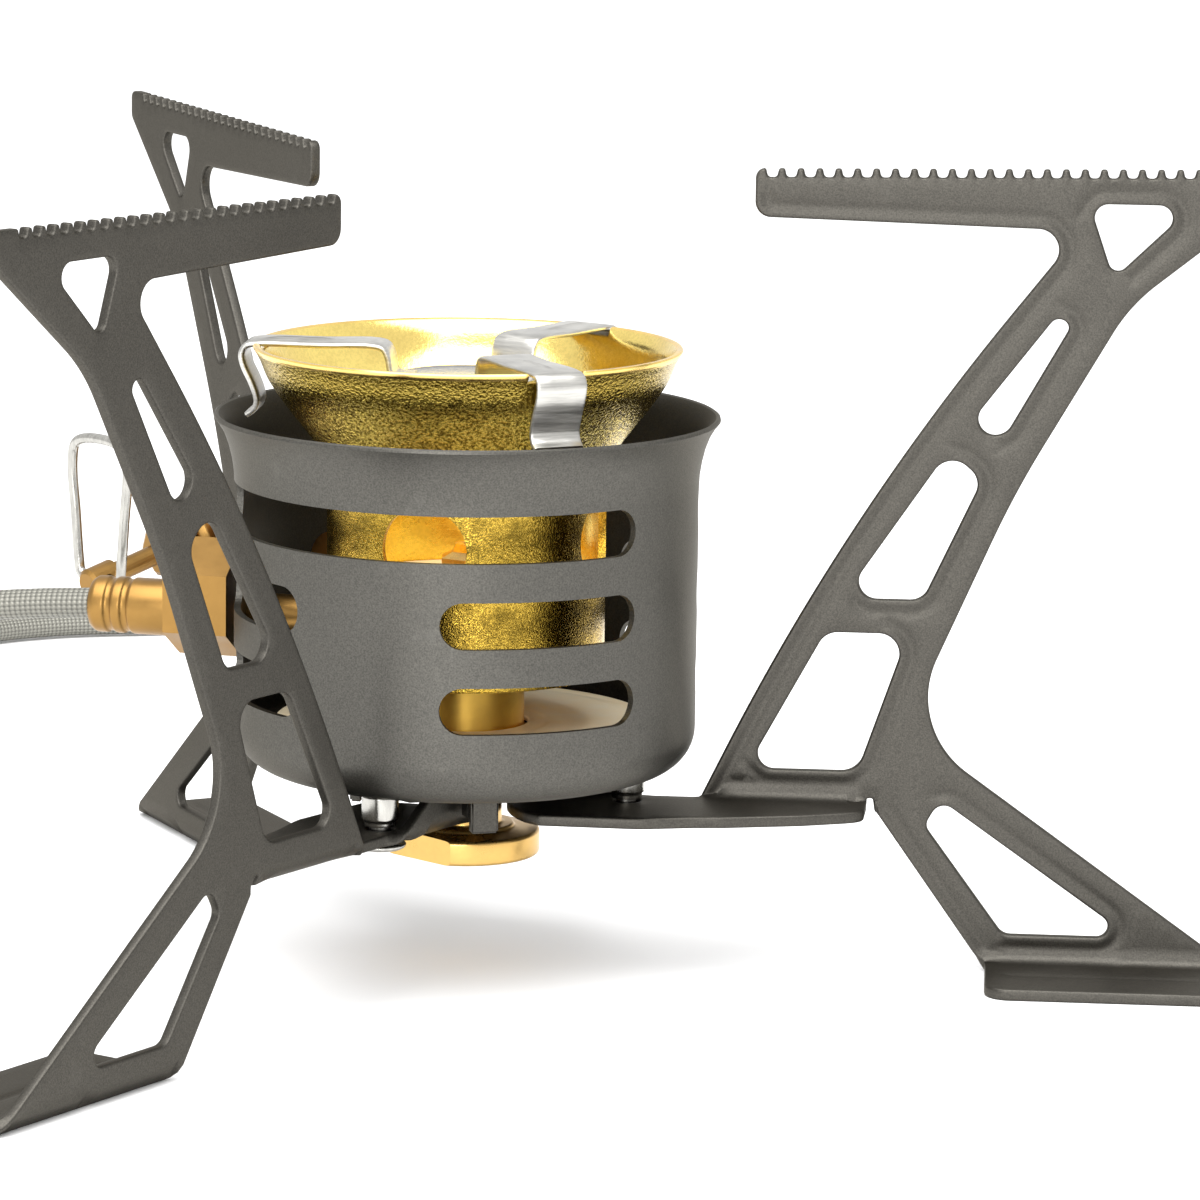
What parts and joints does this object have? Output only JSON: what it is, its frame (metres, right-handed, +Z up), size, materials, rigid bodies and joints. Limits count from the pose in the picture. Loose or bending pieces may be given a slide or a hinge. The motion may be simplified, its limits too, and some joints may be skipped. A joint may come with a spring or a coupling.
{
  "type": "camping stove",
  "caption": "Low folding camping gas stove: slotted titanium windshield, brass burner bowl, fold-out skeleton legs with toothed pot rests, braided hose and canister valve.",
  "frame": {"origin": "on the table under the middle of the stove's bounding box, hose and valve left out", "axes": "+Z up; -Y towards the front, where two legs spread left and right; the gas inlet and its hose leave towards -X"},
  "size_m": [0.1652, 0.3205, 0.0852],
  "materials": {
    "titanium": "bead-blasted dark titanium sheet",
    "windshield_titanium": "bead-blasted titanium sheet",
    "gold_brass": "polished brass with a fine sand texture outside",
    "satin_brass": "machined brass, satin",
    "stainless": "brushed stainless steel",
    "pale_metal": "pale satin sheet that reflects heat",
    "braid": "fine braided sleeve over a gas hose",
    "seal_rubber": "black rubber"
  },
  "bodies": {
    "stove": {"leg_rivet_1": "stainless", "leg_spacer_1": "stainless", "leg_rivet_2": "stainless", "leg_spacer_2": "stainless", "leg_rivet_3": "stainless", "leg_spacer_3": "stainless", "cup": "windshield_titanium", "hub_plate": "titanium", "base_nut": "satin_brass", "jet_column": "satin_brass", "jet_nozzle": "satin_brass", "heat_reflector": "pale_metal", "tube_floor": "pale_metal", "mixing_tube": "gold_brass", "burner_bowl": "gold_brass", "flame_spreader": "stainless", "inlet_pipe": "satin_brass", "inlet_block": "satin_brass", "stove_ferrule": "satin_brass", "hose": "braid", "valve_ferrule": "satin_brass", "valve_body": "satin_brass", "canister_collar": "satin_brass", "collar_seal": "seal_rubber", "valve_pin": "satin_brass", "packing_nut": "satin_brass"},
    "leg_1": {"leg_1": "titanium"},
    "leg_2": {"leg_2": "titanium"},
    "leg_3": {"leg_3": "titanium"},
    "spindle": {"valve_spindle": "satin_brass"},
    "handle": {"valve_handle": "stainless"}
  },
  "joints": [
    {"name": "leg_fold_1", "type": "hinge", "parent": "stove", "child": "leg_1", "pos_m": [0.00149, -0.00206, 0.0174], "axis": [0, 0, -1], "range_deg": [0, 75]},
    {"name": "leg_fold_2", "type": "hinge", "parent": "stove", "child": "leg_2", "pos_m": [-0.02447, 0.01211, 0.0174], "axis": [0, 0, -1], "range_deg": [0, 75]},
    {"name": "leg_fold_3", "type": "hinge", "parent": "stove", "child": "leg_3", "pos_m": [-0.02376, -0.01746, 0.0174], "axis": [0, 0, -1], "range_deg": [0, 75]},
    {"name": "valve_turn", "type": "hinge", "parent": "stove", "child": "spindle", "pos_m": [-0.07226, 0.20635, 0.00343], "axis": [-0.6876, -0.6876, -0.2334], "range_deg": [0, 720]},
    {"name": "handle_fold", "type": "hinge", "parent": "spindle", "child": "handle", "pos_m": [-0.07226, 0.20635, 0.00343], "axis": [-0.7071, 0.7071, 0], "range_deg": [-60, 25]}
  ]
}
